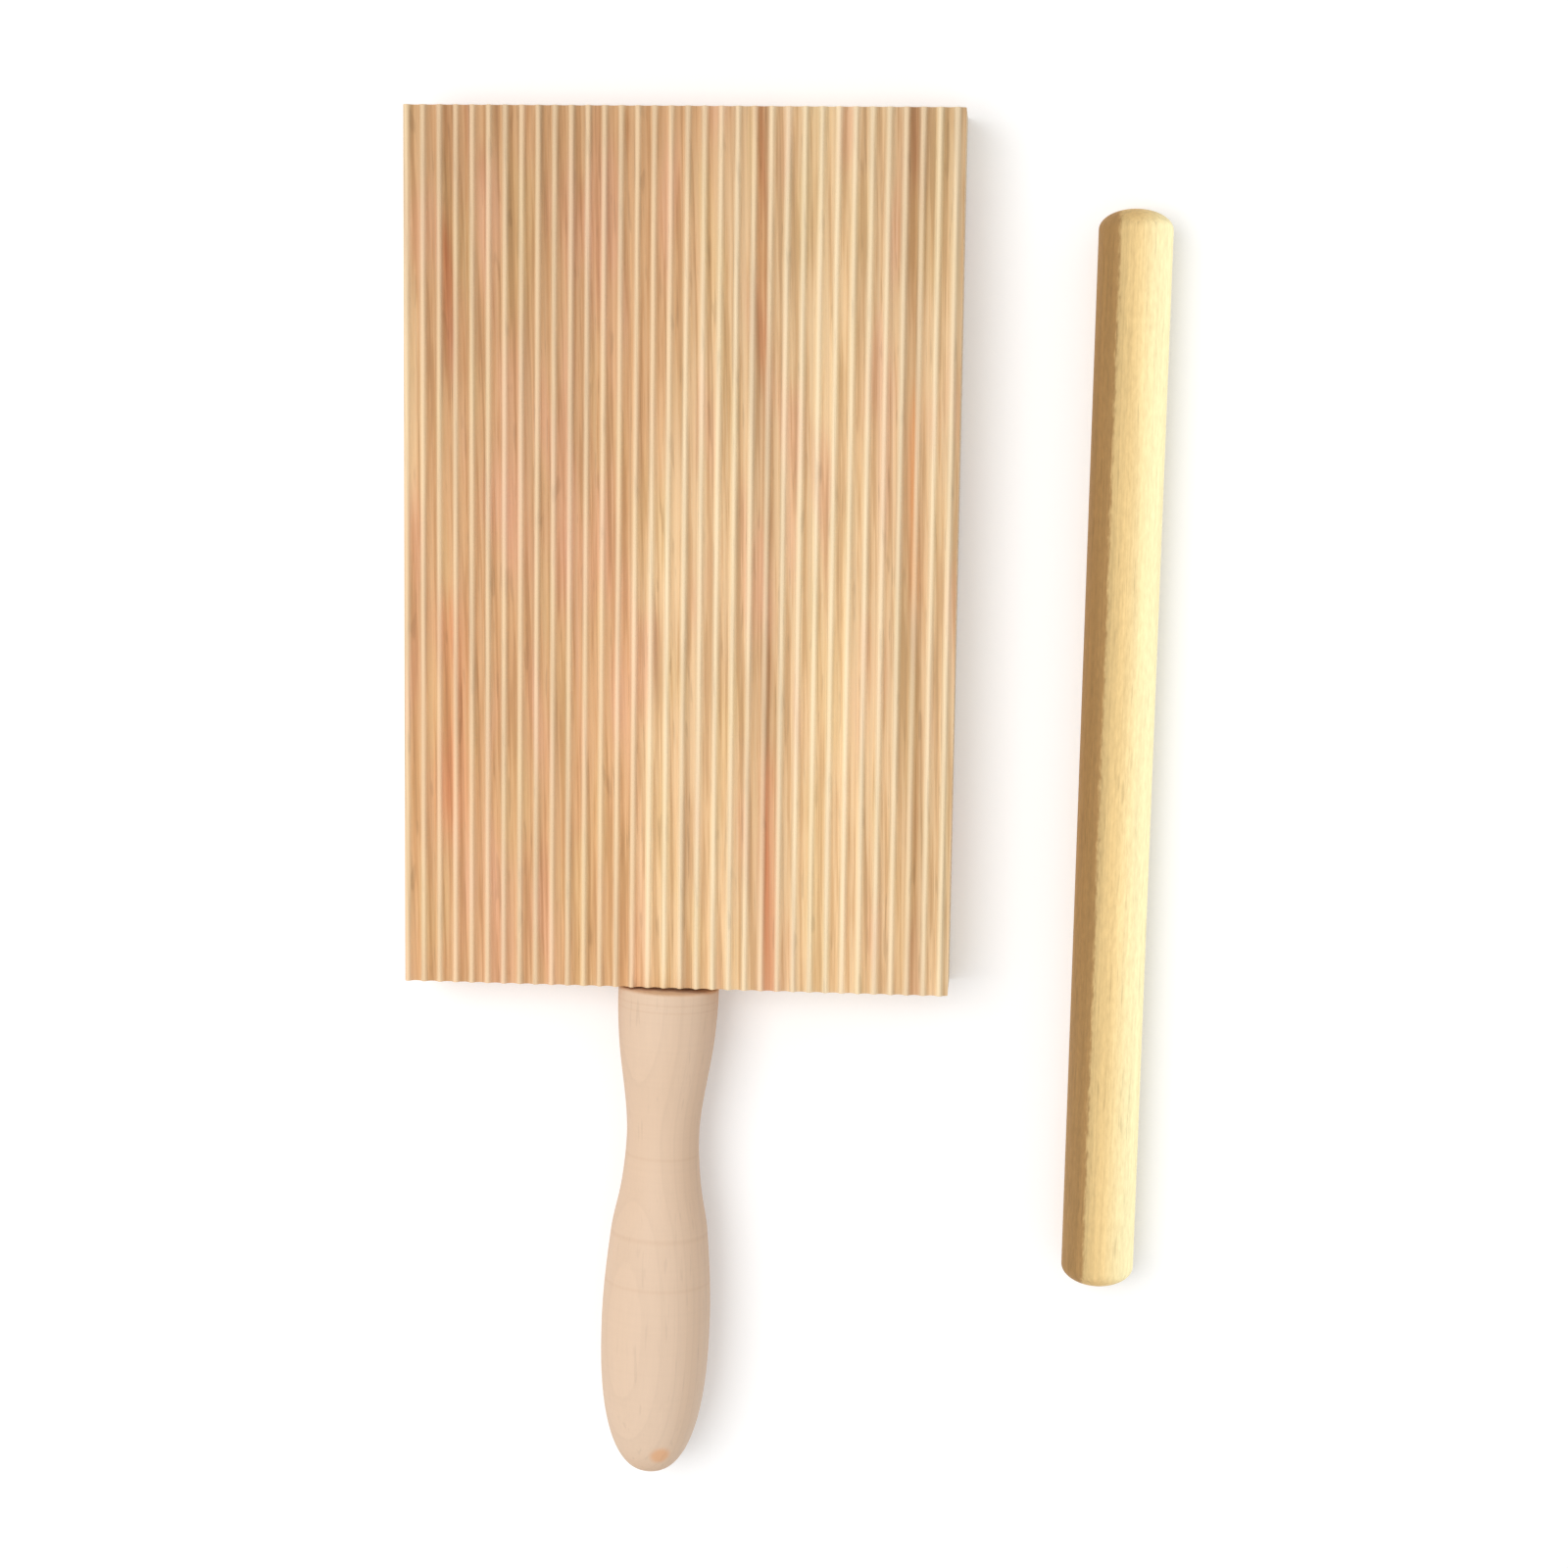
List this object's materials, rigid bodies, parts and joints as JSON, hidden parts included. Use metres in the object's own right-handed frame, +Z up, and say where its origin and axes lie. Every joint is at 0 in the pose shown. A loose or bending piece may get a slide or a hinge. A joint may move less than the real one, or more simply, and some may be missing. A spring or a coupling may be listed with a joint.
{
  "type": "gnocchi board",
  "caption": "Ridged wooden board with a turned handle pinned into its end, and a loose wooden dowel for rolling small pasta and dumplings over the ridges.",
  "frame": {"origin": "centre of the board's flat underside", "axes": "+Z up through the ridges, +Y along the ridges away from the handle, +X towards the dowel's side"},
  "size_m": [0.1646, 0.3027, 0.0246],
  "materials": {
    "board_wood": "bare planed softwood, ridges cut along the grain",
    "handle_wood": "bare turned hardwood, sanded smooth",
    "pin_wood": "bare fluted hardwood",
    "dowel_wood": "bare sanded pale wood"
  },
  "bodies": {
    "board": {"ridged_board": "board_wood", "handle": "handle_wood", "handle_pin": "pin_wood"},
    "dowel": {"rolling_dowel": "dowel_wood"}
  },
  "joints": [
    {"name": "dowel_roll", "type": "hinge", "parent": "board", "child": "dowel", "pos_m": [0.0956, -0.0433, 0.008], "axis": [0.0087, 1, 0], "continuous": true}
  ]
}
